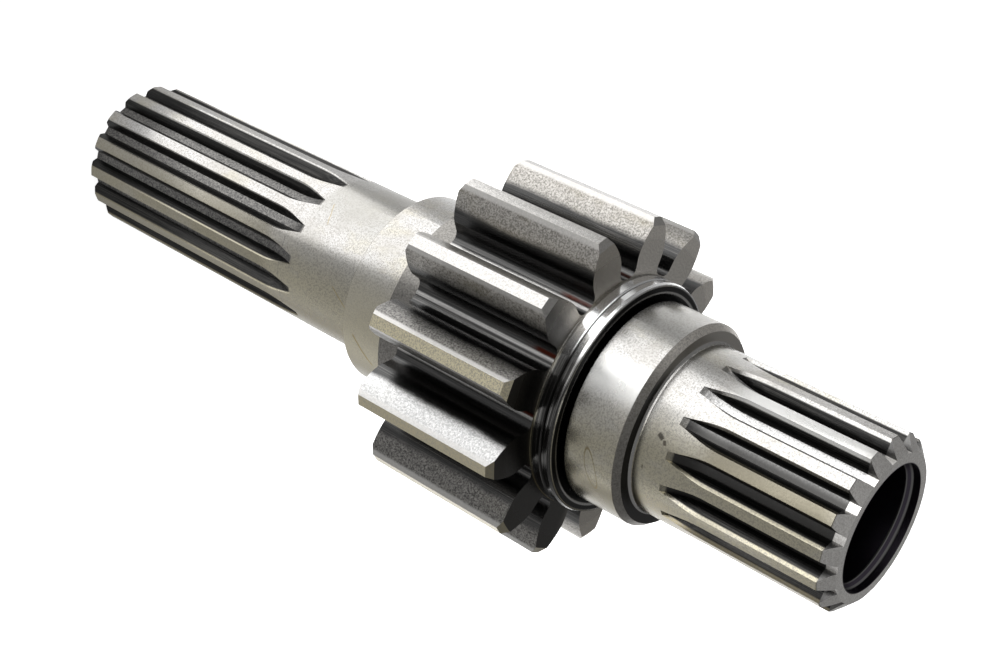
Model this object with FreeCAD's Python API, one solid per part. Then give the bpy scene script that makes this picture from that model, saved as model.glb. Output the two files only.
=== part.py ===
import FreeCAD, Part
import math
import os

# Splined pinion shaft, modelled standing on its solid end.
# Origin: centre of that end face. +Z runs along the axis to the bored end.
# +X goes through the middle of one pinion tooth. All lengths in millimetres.

# Turned diameters and their positions along the axis
lower_spline_radius = 20.4
lower_end_chamfer = 1.4
bearing_radius = 25.0
bearing_start = 105.5
shoulder_radius = 28.7
shoulder_start = 121.0
edge_break = 0.4
collar_end = 174.4
collar_edge = 0.9
hub_groove_start = 171.2
hub_groove_width = 0.9
hub_groove_depth = 0.7
relief_start = 173.6
relief_radius = 24.4
relief_lip_radius = 26.4
journal_start = 175.6
journal_end = 188.7
journal_chamfer_end = 190.3
journal_chamfer_radius = 23.7
step_fillet = 0.85
upper_spline_radius = 20.8
upper_chamfer_start = 238.2
upper_face_radius = 17.55
total_length = 241.0

# Blind bore in the upper end
mouth_radius = 15.1
mouth_depth = 1.7
bore_radius = 14.3
bore_seat_depth = 3.0
bore_depth = 45.0
drill_point_half_angle = 59.0

# Pinion
pinion_teeth = 13
pinion_module = 5.5
pinion_pressure = 20.0
pinion_shift = 0.2
pinion_tip_radius = 42.35
pinion_root_radius = 28.95
pinion_root_fillet = 2.1
pinion_start = 127.5
pinion_end = 168.7
pinion_end_chamfer = 1.1
pinion_end_drop = 1.7

# Splines, both of the same module and pressure angle
spline_module = 2.5
spline_pressure = 30.0
runout_length = 11.0
lower_spline = {"teeth": 15, "shift": 0.2, "root": 17.6, "tip": lower_spline_radius, "phase": -9.25}
upper_spline = {"teeth": 16, "shift": -0.15, "root": 17.5, "tip": upper_spline_radius, "phase": -6.6}
lower_spline_end = 81.5
upper_spline_start = 198.5

Z_AXIS = FreeCAD.Vector(0, 0, 1)
ORIGIN = FreeCAD.Vector(0, 0, 0)


def at(radius, angle, z=0.0):
    return FreeCAD.Vector(radius * math.cos(angle), radius * math.sin(angle), z)


def involute(angle):
    return math.tan(angle) - angle


# Half the angle of the space between two teeth, at any radius above the base circle
def half_space(radius, teeth, module, pressure, shift):
    alpha = math.radians(pressure)
    base = 0.5 * module * teeth * math.cos(alpha)
    at_radius = math.acos(min(1.0, base / radius))
    tooth = math.pi / (2 * teeth) + 2 * shift * math.tan(alpha) / teeth + involute(alpha) - involute(at_radius)
    return math.pi / teeth - tooth


def flank_curve(low, high, side, centre, teeth, module, pressure, shift):
    points = []
    steps = 7
    for i in range(steps + 1):
        radius = low + (high - low) * i / steps
        angle = centre + side * half_space(radius, teeth, module, pressure, shift)
        points.append(at(radius, angle))
    curve = Part.BSplineCurve()
    curve.interpolate(points)
    return curve.toShape()


def arc(radius, start, end):
    return Part.Arc(at(radius, start), at(radius, 0.5 * (start + end)), at(radius, end)).toShape()


# One turned outline, revolved into the shaft blank with its bore
def turned_blank():
    outline = [
        (0, 0),
        (lower_spline_radius - lower_end_chamfer, 0),
        (lower_spline_radius, lower_end_chamfer),
        (lower_spline_radius, bearing_start),
        (bearing_radius - edge_break, bearing_start),
        (bearing_radius, bearing_start + edge_break),
        (bearing_radius, shoulder_start),
        (shoulder_radius - edge_break, shoulder_start),
        (shoulder_radius, shoulder_start + edge_break),
        (shoulder_radius, hub_groove_start),
        (shoulder_radius - hub_groove_depth, hub_groove_start + 0.5 * hub_groove_width),
        (shoulder_radius, hub_groove_start + hub_groove_width),
        (shoulder_radius, collar_end - collar_edge),
        (shoulder_radius - 0.3 * collar_edge, collar_end - 0.3 * collar_edge),
        (shoulder_radius - collar_edge, collar_end),
        (relief_lip_radius, collar_end),
        (relief_radius, relief_start),
        (relief_radius, journal_start - 2 * edge_break),
        (bearing_radius, journal_start),
        (bearing_radius, journal_end),
        (journal_chamfer_radius, journal_chamfer_end),
        (upper_spline_radius + step_fillet, journal_chamfer_end),
    ]
    after_fillet = [
        (upper_spline_radius, journal_chamfer_end + step_fillet),
        (upper_spline_radius, upper_chamfer_start),
        (upper_face_radius, total_length),
        (mouth_radius, total_length),
        (mouth_radius, total_length - mouth_depth),
        (bore_radius, total_length - bore_seat_depth),
        (bore_radius, total_length - bore_depth),
    ]
    point_depth = bore_radius / math.tan(math.radians(drill_point_half_angle))
    after_fillet.append((0, total_length - bore_depth - point_depth))
    after_fillet.append((0, 0))
    first = [FreeCAD.Vector(r, 0, z) for r, z in outline]
    last = [FreeCAD.Vector(r, 0, z) for r, z in after_fillet]
    edges = [Part.makeLine(a, b) for a, b in zip(first, first[1:])]
    reach = step_fillet * (1 - math.sqrt(0.5))
    middle = FreeCAD.Vector(upper_spline_radius + reach, 0, journal_chamfer_end + reach)
    edges.append(Part.Arc(first[-1], middle, last[0]).toShape())
    edges.extend(Part.makeLine(a, b) for a, b in zip(last, last[1:]))
    face = Part.Face(Part.Wire(edges))
    return face.revolve(ORIGIN, Z_AXIS, 360)


# The pinion's toothed outline: involute flanks, radial below the base circle, filleted roots
def pinion_outline():
    form = (pinion_teeth, pinion_module, pinion_pressure, pinion_shift)
    base = 0.5 * pinion_module * pinion_teeth * math.cos(math.radians(pinion_pressure))
    pitch = 2 * math.pi / pinion_teeth
    at_base = half_space(base, *form)
    at_tip = half_space(pinion_tip_radius, *form)
    centre_radius = pinion_root_radius + pinion_root_fillet
    turn = math.asin(pinion_root_fillet / centre_radius)
    tangent_radius = math.sqrt(centre_radius ** 2 - pinion_root_fillet ** 2)
    bottom = at_base - turn
    edges = []
    for k in range(pinion_teeth):
        gap = (k + 0.5) * pitch
        for side in (-1, 1):
            fillet_centre = at(centre_radius, gap + side * bottom)
            outward = at(1.0, gap + side * at_base + side * math.pi / 2)
            inward = at(-1.0, gap + side * bottom)
            away = outward + inward
            away.normalize()
            middle = fillet_centre + away * pinion_root_fillet
            low = at(pinion_root_radius, gap + side * bottom)
            high = at(tangent_radius, gap + side * at_base)
            edges.append(Part.Arc(low, middle, high).toShape())
            edges.append(Part.makeLine(high, at(base, gap + side * at_base)))
            edges.append(flank_curve(base, pinion_tip_radius, side, gap, *form))
        edges.append(arc(pinion_root_radius, gap - bottom, gap + bottom))
        edges.append(arc(pinion_tip_radius, gap + at_tip, gap + pitch - at_tip))
    return Part.Wire(Part.__sortEdges__(edges))


def pinion():
    width = pinion_end - pinion_start
    teeth = Part.Face(pinion_outline()).extrude(Z_AXIS * width)
    teeth.translate(Z_AXIS * pinion_start)
    body = Part.makeCylinder(pinion_tip_radius + 0.01, width - 2 * pinion_end_chamfer)
    body.translate(Z_AXIS * (pinion_start + pinion_end_chamfer))
    small = pinion_tip_radius - pinion_end_drop
    cone = Part.makeCone(small, pinion_tip_radius + 0.01, pinion_end_chamfer)
    cone.translate(Z_AXIS * pinion_start)
    upper = Part.makeCone(pinion_tip_radius + 0.01, small, pinion_end_chamfer)
    upper.translate(Z_AXIS * (pinion_end - pinion_end_chamfer))
    return teeth.common(cone.fuse([body, upper]).removeSplitter())


# The space one spline cutter removes: a straight run, then the arc on which it lifts out
def spline_cutter(spline, straight_from, straight_to, lift):
    form = (spline["teeth"], spline_module, spline_pressure, spline["shift"])
    root = spline["root"]
    top = spline["tip"] + 0.8
    depth = spline["tip"] - root
    low = half_space(root, *form)
    high = half_space(top, *form)
    edges = [
        arc(root, -low, low),
        flank_curve(root, top, 1, 0.0, *form),
        flank_curve(root, top, -1, 0.0, *form),
        Part.makeLine(at(top, -high), at(top, high)),
    ]
    face = Part.Face(Part.Wire(Part.__sortEdges__(edges)))
    run = face.copy()
    run.translate(Z_AXIS * straight_from)
    straight = run.extrude(Z_AXIS * (straight_to - straight_from))
    cutter_radius = (runout_length ** 2 + depth ** 2) / (2 * depth)
    sweep = math.degrees(math.asin(runout_length / cutter_radius)) + 6.0
    lift_z = straight_to if lift > 0 else straight_from
    face.translate(Z_AXIS * lift_z)
    pivot = FreeCAD.Vector(root + cutter_radius, 0, lift_z)
    out = face.revolve(pivot, FreeCAD.Vector(0, lift, 0), sweep)
    return straight, out


def cut_spline(shaft, spline, straight_from, straight_to, lift):
    cutters = []
    for k in range(spline["teeth"]):
        for piece in spline_cutter(spline, straight_from, straight_to, lift):
            turned = piece.copy()
            turned.rotate(ORIGIN, Z_AXIS, spline["phase"] + 360.0 * k / spline["teeth"])
            cutters.append(turned)
    return shaft.cut(cutters)


shaft = turned_blank().fuse(pinion()).removeSplitter()
shaft = cut_spline(shaft, lower_spline, -1.0, lower_spline_end - runout_length, 1)
shaft = cut_spline(shaft, upper_spline, upper_spline_start + runout_length, total_length + 1.0, -1)
shaft = shaft.removeSplitter()
if shaft.ShapeType != "Solid":
    shaft = shaft.Solids[0]

os.makedirs("parts", exist_ok=True)
shaft.exportStep("parts/pinion_shaft.step")
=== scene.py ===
import math
import bpy
from mathutils import Matrix, Vector


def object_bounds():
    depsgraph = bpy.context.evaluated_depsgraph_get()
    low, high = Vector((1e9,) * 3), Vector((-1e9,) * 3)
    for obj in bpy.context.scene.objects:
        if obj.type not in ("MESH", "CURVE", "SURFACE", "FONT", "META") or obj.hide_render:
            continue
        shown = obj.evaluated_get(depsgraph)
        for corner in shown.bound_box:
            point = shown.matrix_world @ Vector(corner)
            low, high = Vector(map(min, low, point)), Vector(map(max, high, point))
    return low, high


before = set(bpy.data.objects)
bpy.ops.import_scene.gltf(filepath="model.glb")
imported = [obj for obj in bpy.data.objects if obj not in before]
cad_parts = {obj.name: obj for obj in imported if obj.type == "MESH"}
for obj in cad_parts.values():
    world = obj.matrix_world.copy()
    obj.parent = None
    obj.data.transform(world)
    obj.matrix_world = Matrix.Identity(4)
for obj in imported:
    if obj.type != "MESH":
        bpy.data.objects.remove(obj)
cad_low, cad_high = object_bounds()
scene = bpy.context.scene

# Heights on the shaft in millimetres, from its solid end
LOWER_SPLINE_END = 81.5
BEARING_START = 105.5
SHOULDER_START = 121.0
PINION_START = 127.5
PINION_END = 168.7
COLLAR_END = 174.4
JOURNAL_START = 175.6
JOURNAL_END = 188.7
STEP_END = 190.9
UPPER_SPLINE_START = 198.5
END_CHAMFER_START = 238.2
TOTAL_LENGTH = 1000.0 * cad_high[2]

# Radii in millimetres
BORE_MOUTH = 15.1
LOWER_LAND = 20.4
UPPER_LAND = 20.8
SEAT = 25.0
HUB = 28.7
PINION_ROOT = 28.95
PINION_TIP = 42.35

PINION_TEETH = 13
ROOT_PITCH = 2.0 * math.pi * PINION_ROOT / PINION_TEETH

# Where surfaces lie in shade, in degrees about the axis: start, end and, except for teeth, softness
SEATS_SHADED = (96.0, 170.0, 10.0)
FLOORS_SHADED = (32.0, 160.0, 8.0)
TOOTH_ENDS_SHADED = (22.0, 150.0, 8.0)
COLLAR_SHADED = (33.0, 170.0, 6.0)
STEP_SHADED = (18.0, 160.0, 14.0)
SHADED_TEETH = ((34.0, 66.0), (92.0, 160.0))

# Where painted highlights, reflections and shade change, in degrees about the axis
HIGHLIGHTED_TOOTH = (68.0, 86.0)
LANDS_REFLECTING_BEIGE = (48.0, 170.0, 8.0)
BEIGE_REFLECTION_DARKENS = (62.0, 76.0)
TOOTH_ENDS_LIGHT_FADES = (-22.0, -8.0)
WARM_SHADE_TURNS = (55.0, 170.0, 20.0)
WARM_SHADE_LEAD = 10.0

# Where finishes and painted shade change, as heights in millimetres
UPPER_TOOTH_ENDS = (150.0, 160.0)
STAIN_START = (158.0, 163.0)
HUB_GROOVE = (171.4, 171.9, 0.08)
BORE_START = (180.0, 181.0)
WARM_SHADE_LEAD_START = (190.0, 194.0)
BORE_SPECKS = (196.0, 232.0, 4.0)
BORE_LIPS = ((238.9, 239.5), (237.7, 238.2))

# Radii where the smooth lower flank and the root of a tooth space end
SMOOTH_FLANK_TOP = (36.3, 38.0)
ROOT_TOP = (30.5, 31.0)

# Across a root, from its middle: the bright line and the brown stain beside it
ROOT_LINE = (-0.4, 0.4, 0.25)
STAIN_ACROSS = (-1.5, -0.5, 0.3)

# How deep the bumps look, and how bright the white around the shaft is
BUMP_STRENGTH = 0.35
BUMP_METRES = 0.00006
WORLD_LIGHT = 0.22
WORLD_SEEN = 0.95
FLOOR_SEEN = 0.86
FLOOR_MIRRORED = 0.27
FLOOR_METRES = 6.0

# Roughness of the finishes
POLISHED = 0.2
SATIN = 0.3
MATT = 0.38


# A grey, where warm adds that share of red and takes 1.6 times that share of blue away
def grey(value, warm=0.0):
    return (value * (1 + warm), value, value * (1 - 1.6 * warm), 1.0)


# Oil in thin random patches, and warm painted shade on the side turned from the light
OIL_AND_WARM_SHADE = (0.45, 0.42, 0.32, 1.0)
# Darker painted shade further under the shaft
UNDERSIDE_SHADE = (0.25, 0.22, 0.145, 1.0)
OILY_FLANK = (0.2, 0.18, 0.12, 1.0)
OCHRE = (0.33, 0.25, 0.10, 1.0)
OVAL_BROWN = (0.19, 0.15, 0.07, 1.0)
ROOT_STAIN = (0.05, 0.011, 0.006, 1.0)
# Colours of the painted reflection on the tip lands turned from the light
LIT_BEIGE_REFLECTION = (0.95, 0.87, 0.62, 1.0)
SHADED_BEIGE_REFLECTION = (0.5, 0.45, 0.31, 1.0)
# Grey of painted shade on the tops of the seats and journal
DIMMING_SHADE = (0.3, 0.295, 0.27, 1.0)
SEAM = (0.14, 0.13, 0.1, 1.0)
# White of painted highlights
PAINTED_HIGHLIGHT = (0.86, 0.86, 0.84, 1.0)
BORE_VIOLET = (0.11, 0.095, 0.125, 1.0)

# Where painted shade, painted highlights and dark seams lie: start, end and softness of a height or of a
# turn about the axis in degrees
ALL_ROUND = (-180.0, 180.0, 1.0)
JOURNAL = (JOURNAL_START, JOURNAL_END + 0.1, 0.15)
UPPER_LANDS = (206.0, 239.3, 5.0)

# Painted shade, highlights and reflection on one side of the shaft, and dark seams all round: heights,
# turns, strength, colour
PAINTED_LIGHT_AND_SEAMS = (
    ((-1.0, 72.0, 3.0), (36.0, 150.0, 8.0), 0.5, (0.24, 0.22, 0.16, 1.0)),
    ((81.0, 105.4, 1.0), (-120.0, 22.0, 14.0), 0.5, DIMMING_SHADE),
    ((BEARING_START - 0.3, BEARING_START + 0.3, 0.15), ALL_ROUND, 0.85, SEAM),
    ((105.6, 120.8, 0.15), (50.0, 100.0, 12.0), 0.5, (0.6, 0.56, 0.44, 1.0)),
    ((SHOULDER_START - 0.3, SHOULDER_START + 0.4, 0.15), ALL_ROUND, 0.85, SEAM),
    (JOURNAL, (-120.0, 8.0, 8.0), 0.4, DIMMING_SHADE),
    (JOURNAL, (26.0, 44.0, 6.0), 0.85, PAINTED_HIGHLIGHT),
    (JOURNAL, (94.0, 160.0, 5.0), 0.6, (0.1, 0.09, 0.06, 1.0)),
    ((STEP_END, 200.0, 2.0), (-120.0, 2.0, 8.0), 0.4, DIMMING_SHADE),
    (UPPER_LANDS, (-12.0, 14.0, 3.0), 0.85, PAINTED_HIGHLIGHT),
    (UPPER_LANDS, (41.0, 62.0, 4.0), 0.8, (0.2, 0.18, 0.13, 1.0)),
)

# Marks: height, turn, seat radius, half length, half width, slope in degrees, strength, colour
MARKS = (
    (195.8, 52.0, UPPER_LAND, 0.9, 0.75, 60.0, 0.85, (0.05, 0.045, 0.04, 1.0)),
    (197.2, 54.8, UPPER_LAND, 0.6, 0.5, 20.0, 0.8, (0.07, 0.06, 0.05, 1.0)),
    (193.4, 75.0, UPPER_LAND, 0.5, 0.3, 0.0, 0.6, (0.1, 0.09, 0.07, 1.0)),
    (112.0, 90.0, SEAT, 5.0, 0.35, 40.0, 0.75, OCHRE),
    (100.5, 74.0, LOWER_LAND, 5.5, 0.22, 52.0, 0.6, OCHRE),
    (86.0, 20.0, LOWER_LAND, 3.5, 0.2, 25.0, 0.5, OCHRE),
)

# The oval mark on the journal, and the line scribed at the end of the lower spline
OVAL_HEIGHT = 182.8
OVAL_TURN = 85.7
OVAL_HALF_LENGTH = 5.4
OVAL_HALF_WIDTH = 1.5
OVAL_SLOPE = 0.23
SCRIBED_LINE = (77.35, 77.5, 0.06)

# Lamps before the shaft: name, turn, distance from the axis, height, size, power, in metres and watts
KEY_LAMPS = (
    ("key_low", 0.0, 0.095, 0.067, (0.13, 0.182), 0.125),
    ("key_high", 18.0, 0.25, 0.235, (0.36, 0.277), 0.68),
)
LAMP_AIM_UP = 0.66
LAMP_AIM_IN = 0.75

# Lamp over the floor behind the shaft: name, place, aim, size, power, spread in degrees
BACKDROP_LAMP = ("backdrop_light", (-0.465, -0.41, 0.55), (-0.53, -0.467, 0.0), (1.2, 1.2), 5.0, 60.0)


# Camera, from the fit to the photograph's edges
def add_camera():
    camera = bpy.data.objects.new("camera", bpy.data.cameras.new("camera"))
    camera.data.lens = 60.617
    camera.data.sensor_width = 36.0
    right = Vector((-0.059935, -0.658569, 0.750129))
    up = Vector((0.773293, -0.505828, -0.382302))
    back = Vector((0.631209, 0.557157, 0.539584))
    pose = Matrix((right, up, back)).transposed().to_4x4()
    pose.translation = Vector((0.2581, 0.22774, 0.35516))
    camera.matrix_world = pose
    scene.collection.objects.link(camera)
    scene.camera = camera


class Nodes:
    """Short names for the few nodes that the materials are built from."""

    def __init__(self, tree):
        self.tree = tree

    def connect(self, node, inputs):
        for key, value in inputs.items():
            if isinstance(value, bpy.types.NodeSocket):
                self.tree.links.new(value, node.inputs[key])
            else:
                node.inputs[key].default_value = value

    def add(self, kind, inputs=(), **settings):
        node = self.tree.nodes.new(kind)
        for name, value in settings.items():
            setattr(node, name, value)
        self.connect(node, dict(inputs))
        return node

    def math(self, operation, a, b=0.0):
        return self.add("ShaderNodeMath", {0: a, 1: b}, operation=operation).outputs[0]

    def vector_math(self, operation, a, b, output):
        return self.add("ShaderNodeVectorMath", {0: a, 1: b}, operation=operation).outputs[output]

    def chain(self, operation, first, *rest):
        for value in rest:
            first = self.math(operation, first, value)
        return first

    def product(self, *values):
        return self.chain("MULTIPLY", *values)

    def largest(self, *values):
        return self.chain("MAXIMUM", *values)

    def weighted(self, a, weight_a, b, weight_b):
        return self.math("ADD", self.math("MULTIPLY", a, weight_a), self.math("MULTIPLY", b, weight_b))

    def ramp(self, value, low, high, start=0.0, end=1.0):
        inputs = {0: value, 1: low, 2: high, 3: start, 4: end}
        return self.add("ShaderNodeMapRange", inputs, interpolation_type="SMOOTHSTEP").outputs[0]

    def band(self, value, low, high, soft, strength=1.0):
        rise = self.ramp(value, low - soft, low + soft)
        fall = self.ramp(value, high - soft, high + soft, strength, 0.0)
        return self.math("MULTIPLY", rise, fall)

    def mix(self, amount, a, b):
        return self.add_typed_mix("RGBA", {0: amount, 6: a, 7: b}).outputs[2]

    def blend(self, amount, a, b):
        return self.add_typed_mix("FLOAT", {0: amount, 2: a, 3: b}).outputs[0]

    def add_typed_mix(self, data_type, inputs):
        return self.add("ShaderNodeMix", inputs, data_type=data_type)

    def noise(self, vector, scale, detail, rough):
        inputs = {"Vector": vector, "Scale": scale, "Detail": detail, "Roughness": rough}
        return self.add("ShaderNodeTexNoise", inputs).outputs["Fac"]

    def stretch(self, vector, scale, move=(0.0, 0.0, 0.0)):
        return self.add("ShaderNodeMapping", {"Vector": vector, "Scale": scale, "Location": move}).outputs[0]


class Steel(Nodes):
    """The shaft's coordinates, the noises that its finishes share, and the colour painted so far."""

    def __init__(self, tree):
        super().__init__(tree)
        place = self.add("ShaderNodeTexCoord").outputs["Object"]
        axes = self.add("ShaderNodeSeparateXYZ", {0: place}).outputs
        x, y, self.z = (self.math("MULTIPLY", axis, 1000.0) for axis in axes)
        flat = self.add("ShaderNodeCombineXYZ", {0: x, 1: y, 2: 0.0}).outputs[0]
        self.radius = self.vector_math("LENGTH", flat, (0.0, 0.0, 0.0), "Value")
        self.turn = self.math("MULTIPLY", self.math("ARCTAN2", y, x), 180.0 / math.pi)

        # Where the surface looks outward, up, along the axis either way, or sideways
        radial = self.vector_math("NORMALIZE", flat, (0.0, 0.0, 0.0), "Vector")
        normal = self.add("ShaderNodeNewGeometry").outputs["Normal"]
        self.outward = self.vector_math("DOT_PRODUCT", normal, radial, "Value")
        self.upward = self.add("ShaderNodeSeparateXYZ", {0: normal}).outputs[2]
        self.face = self.ramp(self.math("ABSOLUTE", self.upward), 0.55, 0.8)
        steep = self.ramp(self.outward, 0.72, 0.88, 1.0, 0.0)
        self.side = self.product(steep, self.math("SUBTRACT", 1.0, self.face))

        # Noises: grain of under a millimetre, clouds and patches of one or two centimetres, then rings
        # around the axis and streaks along it
        self.grain = self.noise(place, 2300.0, 5.0, 0.75)
        self.fine = self.noise(place, 7000.0, 2.0, 0.6)
        self.cloud = self.noise(place, 60.0, 4.0, 0.6)
        self.patch = self.noise(self.stretch(place, (1.0, 1.0, 0.45), (0.3, 0.7, 0.1)), 95.0, 5.0, 0.65)
        self.lines = self.noise(self.stretch(place, (40.0, 40.0, 9000.0)), 1.0, 2.0, 0.7)
        self.along = self.noise(self.stretch(place, (5200.0, 5200.0, 40.0)), 1.0, 3.0, 0.7)

        # Bare ground steel, before anything is painted
        self.colour = self.mix(self.ramp(self.cloud, 0.35, 0.7), grey(0.52, 0.01), grey(0.45, 0.03))
        self.rough = self.ramp(self.cloud, 0.3, 0.75, 0.23, 0.31)

    def paint(self, where, colour, rough=None):
        self.colour = self.mix(where, self.colour, colour)
        if rough is not None:
            self.rough = self.blend(where, self.rough, rough)

    def speckle(self, low, high, dark, light):
        return self.mix(self.ramp(self.grain, low, high), dark, light)

    def streak(self, low, high, dark, light):
        return self.mix(self.ramp(self.along, low, high), dark, light)

    def arc_from(self, turn, radius):
        return self.math("MULTIPLY", self.math("SUBTRACT", self.turn, turn), radius * math.pi / 180.0)


# Ground seats and spline lands: thin random patches of oil, and a patchy, warm painted shade on the side
# turned from the light that starts higher up on the bored end, then darker painted shade further under, fine
# rings, grain, and painted shade, highlights and reflection with dark seams
def paint_ground_steel(steel):
    # Warm painted shade on the side turned from the light, starting sooner round on the bored end, with
    # random patches of oil in the same colour
    sooner = steel.ramp(steel.z, *WARM_SHADE_LEAD_START, 0.0, WARM_SHADE_LEAD)
    underside = steel.band(steel.math("ADD", steel.turn, sooner), *WARM_SHADE_TURNS)
    warm_shade = steel.product(underside, steel.ramp(steel.patch, 0.25, 0.5, 0.45, 1.0))
    steel.paint(steel.largest(steel.ramp(steel.patch, 0.5, 0.68, 0.0, 0.5), warm_shade), OIL_AND_WARM_SHADE)
    # Darker painted shade further under the shaft
    steel.paint(steel.band(steel.turn, *SEATS_SHADED), UNDERSIDE_SHADE)
    steel.paint(steel.ramp(steel.lines, 0.52, 0.75, 0.0, 0.2), grey(0.3, 0.03))
    steel.paint(steel.ramp(steel.grain, 0.46, 0.58, 0.0, 0.6), grey(0.22, 0.06))
    # Painted shade, highlights and reflection by turn, and dark seams all round
    for heights, turns, strength, colour in PAINTED_LIGHT_AND_SEAMS:
        painted_or_seam = steel.product(steel.band(steel.z, *heights), steel.band(steel.turn, *turns, strength))
        steel.paint(painted_or_seam, colour)


# Marks left on the ground seats by handling and oil
def paint_marks(steel):
    wobble = steel.math("MULTIPLY", steel.math("SUBTRACT", steel.patch, 0.5), 1.5)
    on_seat = steel.ramp(steel.outward, 0.9, 0.95)
    for height, turn, seat, length, width, slope, strength, colour in MARKS:
        arc = steel.arc_from(turn, seat)
        rise = steel.math("SUBTRACT", steel.z, height)
        lean = math.cos(math.radians(slope))
        stand = math.sin(math.radians(slope))
        run = steel.math("ABSOLUTE", steel.weighted(arc, lean, rise, stand))
        across = steel.math("ADD", steel.weighted(rise, lean, arc, -stand), wobble)
        line = steel.ramp(steel.math("ABSOLUTE", across), 0.4 * width, width, strength, 0.0)
        steel.paint(steel.product(line, steel.ramp(run, 0.8 * length, length, 1.0, 0.0), on_seat), colour)


def paint_oval_and_line(steel):
    arc = steel.arc_from(OVAL_TURN, SEAT)
    rise = steel.math("SUBTRACT", steel.z, OVAL_HEIGHT)
    rise = steel.weighted(rise, 1.0, arc, -OVAL_SLOPE)
    squares = [
        steel.math("POWER", steel.math("DIVIDE", distance, half), 2.0)
        for distance, half in ((arc, OVAL_HALF_LENGTH), (rise, OVAL_HALF_WIDTH))
    ]
    oval = steel.math("SQRT", steel.math("ADD", *squares))
    on_journal = steel.band(steel.z, JOURNAL_START + 0.4, JOURNAL_END - 0.7, 0.3)
    steel.paint(steel.product(steel.band(oval, 0.88, 1.0, 0.05, 0.75), on_journal), OVAL_BROWN)
    steel.paint(steel.band(steel.z, *SCRIBED_LINE, 0.6), grey(0.16))


# Spline spaces: speckled floors, those of the upper spline with painted shade on the side turned from the
# light, between flanks painted near black as painted shade
def paint_splines(steel):
    lower = steel.band(steel.z, -1.0, LOWER_SPLINE_END + 0.5, 0.2)
    upper = steel.band(steel.z, UPPER_SPLINE_START - 0.5, TOTAL_LENGTH + 1.0, 0.2)
    below_lands = steel.ramp(steel.radius, LOWER_LAND - 0.5, LOWER_LAND - 0.15, 1.0, 0.0)
    off_the_bore = steel.ramp(steel.radius, BORE_MOUTH + 0.5, BORE_MOUTH + 1.1)
    spaces = steel.product(steel.largest(lower, upper), below_lands, off_the_bore)
    lower_floor = steel.speckle(0.4, 0.6, grey(0.06), grey(0.2, 0.03))
    upper_floor = steel.speckle(0.35, 0.65, grey(0.32), grey(0.72, 0.01))
    # Painted shade on the upper floors turned from the light
    upper_floor = steel.mix(steel.band(steel.turn, *FLOORS_SHADED), upper_floor, grey(0.06, 0.02))
    floor = steel.mix(upper, lower_floor, upper_floor)
    # Flanks painted near black, as painted shade in the spline spaces
    flank = steel.streak(0.4, 0.7, grey(0.018), grey(0.06, 0.03))
    steel.paint(spaces, steel.mix(steel.side, floor, flank), SATIN)
    return spaces


# Rough upper flanks, with painted shade and a painted highlight by the light each tooth takes, and a worn
# edge at the tip
def upper_flank_colour(steel):
    colour = steel.speckle(0.35, 0.65, grey(0.15, 0.05), grey(0.5, 0.04))
    colour = steel.mix(steel.ramp(steel.patch, 0.48, 0.7, 0.0, 0.5), colour, OILY_FLANK)
    # Painted shade on the teeth turned from the light
    shaded = steel.largest(*(steel.band(steel.turn, *turns, 3.0, 0.8) for turns in SHADED_TEETH))
    colour = steel.mix(shaded, colour, steel.speckle(0.4, 0.6, grey(0.06), grey(0.24, 0.03)))
    # A painted highlight on the one tooth that catches the light
    highlighted = steel.band(steel.turn, *HIGHLIGHTED_TOOTH, 2.0, 0.8)
    colour = steel.mix(highlighted, colour, steel.speckle(0.4, 0.6, grey(0.5), grey(0.85)))
    worn_edge = steel.ramp(steel.radius, PINION_TIP - 1.35, PINION_TIP - 0.75, 0.0, 0.7)
    return steel.mix(worn_edge, colour, grey(0.6, 0.02))


# Tip lands: a painted reflection on those turned from the light, lighter and then darker further round, with
# grain
def tooth_land_colour(steel):
    beige_reflection = steel.mix(steel.ramp(steel.turn, *BEIGE_REFLECTION_DARKENS), LIT_BEIGE_REFLECTION, SHADED_BEIGE_REFLECTION)
    colour = steel.mix(steel.band(steel.turn, *LANDS_REFLECTING_BEIGE), grey(0.54, 0.02), beige_reflection)
    return steel.mix(steel.ramp(steel.grain, 0.4, 0.65, 0.0, 0.6), colour, grey(0.3, 0.04))


# Ends of the teeth: lighter on the lit side as painted light, with grain, and painted shade on the upper
# ends turned from the light
def tooth_end_colour(steel):
    colour = steel.mix(steel.ramp(steel.turn, *TOOTH_ENDS_LIGHT_FADES), grey(0.8, 0.05), grey(0.5, 0.07))
    colour = steel.mix(steel.ramp(steel.grain, 0.3, 0.7, 0.5, 0.0), colour, grey(0.25, 0.06))
    upper_ends = steel.ramp(steel.z, *UPPER_TOOTH_ENDS)
    shaded = steel.product(upper_ends, steel.band(steel.turn, *TOOTH_ENDS_SHADED))
    return steel.mix(shaded, colour, grey(0.047, 0.05))


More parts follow.
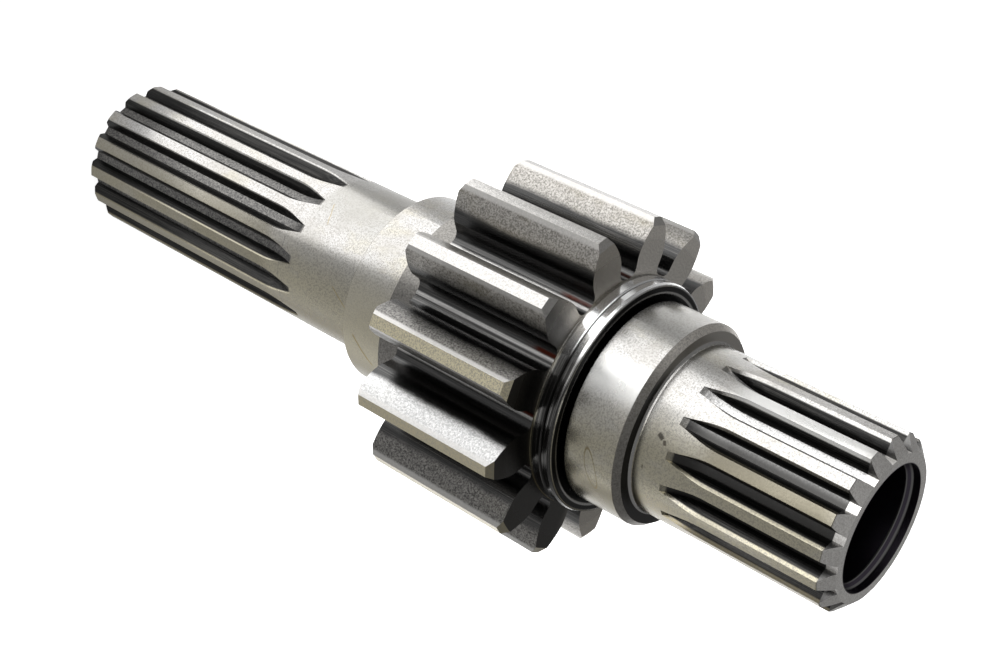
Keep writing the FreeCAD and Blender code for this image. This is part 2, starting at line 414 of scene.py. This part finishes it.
# Pinion: flanks, smooth and painted dark towards the root as painted shade, tip lands with a painted
# reflection, the bright line and brown stain in each root, and the ends of the teeth
def paint_pinion(steel):
    above_hub = steel.ramp(steel.radius, HUB + 0.05, HUB + 0.2)
    pinion = steel.product(steel.band(steel.z, PINION_START - 0.2, PINION_END + 0.2, 0.1), above_hub)
    # Lower flanks, smooth and painted dark towards the root as painted shade
    wavy_radius = steel.weighted(steel.radius, 1.0, steel.math("SUBTRACT", steel.cloud, 0.5), 3.0)
    smooth = steel.ramp(wavy_radius, *SMOOTH_FLANK_TOP, 1.0, 0.0)
    lower_flank = steel.streak(0.45, 0.75, grey(0.06), grey(0.16, 0.03))
    colour = steel.mix(smooth, upper_flank_colour(steel), lower_flank)

    land = tooth_land_colour(steel)
    at_tip = steel.ramp(steel.radius, PINION_TIP - 0.25, PINION_TIP - 0.1)
    tip = steel.product(at_tip, steel.ramp(steel.outward, 0.85, 0.95))
    colour = steel.mix(tip, colour, land)

    pitches = steel.math("FRACT", steel.math("DIVIDE", steel.turn, 360.0 / PINION_TEETH))
    from_root = steel.math("MULTIPLY", steel.math("SUBTRACT", pitches, 0.5), ROOT_PITCH)
    low = steel.ramp(steel.radius, *ROOT_TOP, 1.0, 0.0)
    root_line = steel.product(low, steel.band(from_root, *ROOT_LINE))
    colour = steel.mix(root_line, colour, steel.streak(0.35, 0.7, grey(0.62, 0.01), grey(0.3, 0.03)))
    beside_line = steel.band(from_root, *STAIN_ACROSS)
    near_end = steel.ramp(steel.z, *STAIN_START)
    stain = steel.product(near_end, beside_line, low, steel.ramp(steel.cloud, 0.35, 0.5))
    colour = steel.mix(stain, colour, ROOT_STAIN)

    colour = steel.mix(steel.face, colour, tooth_end_colour(steel))
    near_tip = steel.ramp(steel.radius, PINION_TIP - 1.85, PINION_TIP - 1.65)
    bevel = steel.product(near_tip, steel.band(steel.upward, 0.7, 0.92, 0.03, 0.8))
    colour = steel.mix(bevel, colour, land)
    steel.paint(pinion, colour, steel.blend(steel.largest(tip, root_line, smooth), MATT, POLISHED))
    return pinion


# The shoulder's rim, the polished collar with a painted highlight on its lit side and painted shade with
# turned rings on the other, its groove, and the dark relief behind the journal, the groove and relief
# painted dark as painted shade
def paint_hub(steel):
    rim = steel.band(steel.z, SHOULDER_START, PINION_START - 0.1, 0.1)
    rim = steel.product(rim, steel.ramp(steel.radius, HUB - 0.7, HUB - 0.3))
    steel.paint(rim, steel.speckle(0.3, 0.7, grey(0.12, 0.04), grey(0.28, 0.04)))

    collar = steel.band(steel.z, PINION_END + 0.6, COLLAR_END - 0.2, 0.05)
    collar = steel.product(collar, steel.ramp(steel.radius, HUB - 1.2, HUB - 0.9))
    # A painted highlight on the collar's lit side, and painted shade with turned rings on the other
    shade_and_rings = steel.mix(steel.ramp(steel.lines, 0.55, 0.62), grey(0.07, 0.02), grey(0.35, 0.02))
    lit_and_shaded = steel.mix(steel.band(steel.turn, *COLLAR_SHADED), grey(0.98), shade_and_rings)
    steel.paint(collar, lit_and_shaded, POLISHED)
    # The groove painted darker inward, as painted shade
    groove = steel.band(steel.z, *HUB_GROOVE)
    groove = steel.product(groove, steel.ramp(steel.radius, HUB - 0.8, HUB - 0.1, 1.0, 0.4))
    steel.paint(groove, grey(0.05, 0.03))

    # The relief painted near black as painted shade, with a lighter line at its lip
    relief = steel.band(steel.z, COLLAR_END - 1.2, JOURNAL_START - 0.1, 0.12)
    relief = steel.product(relief, steel.ramp(steel.radius, HUB - 0.8, HUB - 0.6, 1.0, 0.0))
    at_lip = steel.ramp(steel.z, COLLAR_END - 0.3, COLLAR_END - 0.15)
    lip = steel.product(steel.band(steel.radius, 26.2, 26.8, 0.1), at_lip)
    steel.paint(relief, steel.mix(lip, grey(0.012), grey(0.4, 0.02)))


# The journal's chamfer and the face behind it, lighter on the lit side and painted shade on the other, and
# the fillet down to the upper spline
def paint_step(steel):
    step = steel.band(steel.z, JOURNAL_END + 0.05, STEP_END, 0.06)
    # The chamfer and face lighter on the lit side, and painted shade on the side turned from the light
    shaded = steel.band(steel.turn, *STEP_SHADED)
    dark = steel.mix(shaded, grey(0.5, 0.05), grey(0.2, 0.05))
    light = steel.mix(shaded, grey(0.85, 0.05), grey(0.34, 0.05))
    chamfer = steel.speckle(0.35, 0.65, dark, light)
    flat = steel.mix(shaded, grey(0.4, 0.05), grey(0.03, 0.02))
    colour = steel.mix(steel.ramp(steel.upward, 0.8, 0.92), chamfer, flat)
    fillet = steel.ramp(steel.radius, UPPER_LAND + 0.4, UPPER_LAND + 0.6, 1.0, 0.0)
    colour = steel.mix(fillet, colour, grey(0.5, 0.02))
    steel.paint(step, colour, steel.blend(fillet, 0.36, 0.16))
    return step


# The turned ring at the bored end, its sideways surfaces painted near black as painted shade, and the bore
# with its light lips and a few specks
def paint_bored_end(steel):
    off_the_bore = steel.ramp(steel.radius, BORE_MOUTH + 0.05, BORE_MOUTH + 0.2)
    at_end = steel.ramp(steel.z, END_CHAMFER_START + 0.05, END_CHAMFER_START + 0.2)
    ring = steel.product(at_end, off_the_bore)
    colour = steel.speckle(0.35, 0.65, grey(0.7, 0.03), grey(0.97, 0.02))
    # Sideways surfaces of the ring painted near black, as painted shade
    colour = steel.mix(steel.math("MULTIPLY", steel.side, 0.9), colour, grey(0.06))
    steel.paint(ring, colour, MATT)

    in_bore = steel.ramp(steel.radius, BORE_MOUTH + 0.03, BORE_MOUTH + 0.1, 1.0, 0.0)
    bore = steel.product(steel.ramp(steel.z, *BORE_START), in_bore)
    lips = [steel.band(steel.z, low, high, 0.1) for low, high in BORE_LIPS]
    specks = steel.product(steel.ramp(steel.fine, 0.66, 0.72), steel.ramp(steel.patch, 0.5, 0.6))
    specks = steel.product(specks, steel.band(steel.z, *BORE_SPECKS))
    steel.paint(bore, steel.mix(steel.largest(*lips, specks), BORE_VIOLET, grey(0.3, 0.01)), SATIN)
    return ring


def make_steel():
    material = bpy.data.materials.new("shaft_steel")
    material.use_nodes = True
    material.node_tree.nodes.clear()
    steel = Steel(material.node_tree)
    paint_ground_steel(steel)
    paint_marks(steel)
    paint_oval_and_line(steel)
    spaces = paint_splines(steel)
    pinion = paint_pinion(steel)
    paint_hub(steel)
    step = paint_step(steel)
    ring = paint_bored_end(steel)

    ground = steel.weighted(steel.lines, 0.35, steel.fine, 0.3)
    coarse = steel.weighted(steel.grain, 1.6, steel.along, 0.8)
    height = steel.blend(steel.largest(spaces, pinion, step, ring), ground, coarse)
    depth = {"Strength": BUMP_STRENGTH, "Distance": BUMP_METRES, "Height": height}
    bump = steel.add("ShaderNodeBump", depth).outputs[0]
    looks = {"Base Color": steel.colour, "Roughness": steel.rough, "Metallic": 1.0, "Normal": bump}
    shader = steel.add("ShaderNodeBsdfPrincipled", looks)
    steel.add("ShaderNodeOutputMaterial", {0: shader.outputs[0]})
    return material


# A pale floor that the camera and the steel's reflections see as light
def add_floor():
    bpy.ops.mesh.primitive_circle_add(vertices=96, radius=FLOOR_METRES, fill_type="NGON", location=(0, 0, 0))
    floor = bpy.context.object
    floor.name = "floor"
    material = bpy.data.materials.new("pale_floor")
    material.use_nodes = True
    nodes = Nodes(material.node_tree)
    path = nodes.add("ShaderNodeLightPath").outputs
    seen = nodes.largest(path["Is Camera Ray"], path["Is Transmission Ray"])
    mirrored = nodes.math("MULTIPLY", path["Is Glossy Ray"], FLOOR_MIRRORED)
    glow = nodes.largest(nodes.math("MULTIPLY", seen, FLOOR_SEEN), mirrored)
    nodes.connect(material.node_tree.nodes["Principled BSDF"], {
        "Base Color": (0.88, 0.88, 0.88, 1.0),
        "Roughness": 0.9,
        "Specular IOR Level": 0.1,
        "Emission Color": (1.0, 1.0, 1.0, 1.0),
        "Emission Strength": glow,
    })
    floor.data.materials.append(material)


def add_softbox(name, place, aim, size, power, spread=180.0):
    light = bpy.data.lights.new(name, "AREA")
    light.shape = "RECTANGLE"
    light.size, light.size_y = size
    light.energy = power
    light.spread = math.radians(spread)
    lamp = bpy.data.objects.new(name, light)
    lamp.location = place
    lamp.rotation_euler = (Vector(aim) - Vector(place)).to_track_quat("-Z", "Y").to_euler()
    lamp.visible_camera = False
    scene.collection.objects.link(lamp)


def add_studio():
    world = bpy.data.worlds.new("studio")
    world.use_nodes = True
    scene.world = world
    nodes = Nodes(world.node_tree)
    path = nodes.add("ShaderNodeLightPath").outputs
    strength = nodes.blend(path["Is Camera Ray"], WORLD_LIGHT, WORLD_SEEN)
    nodes.connect(world.node_tree.nodes["Background"], {0: (1.0, 1.0, 1.0, 1.0), 1: strength})
    up = Vector((0.0, 0.0, 1.0))
    for name, turn, distance, height, size, power in KEY_LAMPS:
        out = Vector((math.cos(math.radians(turn)), math.sin(math.radians(turn)), 0.0))
        place = distance * out + height * up
        add_softbox(name, place, place + LAMP_AIM_UP * up - LAMP_AIM_IN * out, size, power)
    add_softbox(*BACKDROP_LAMP)


add_camera()
shaft_steel = make_steel()
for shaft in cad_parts.values():
    for slot in shaft.material_slots:
        slot.material = shaft_steel
add_floor()
add_studio()

scene.view_settings.view_transform = "Standard"
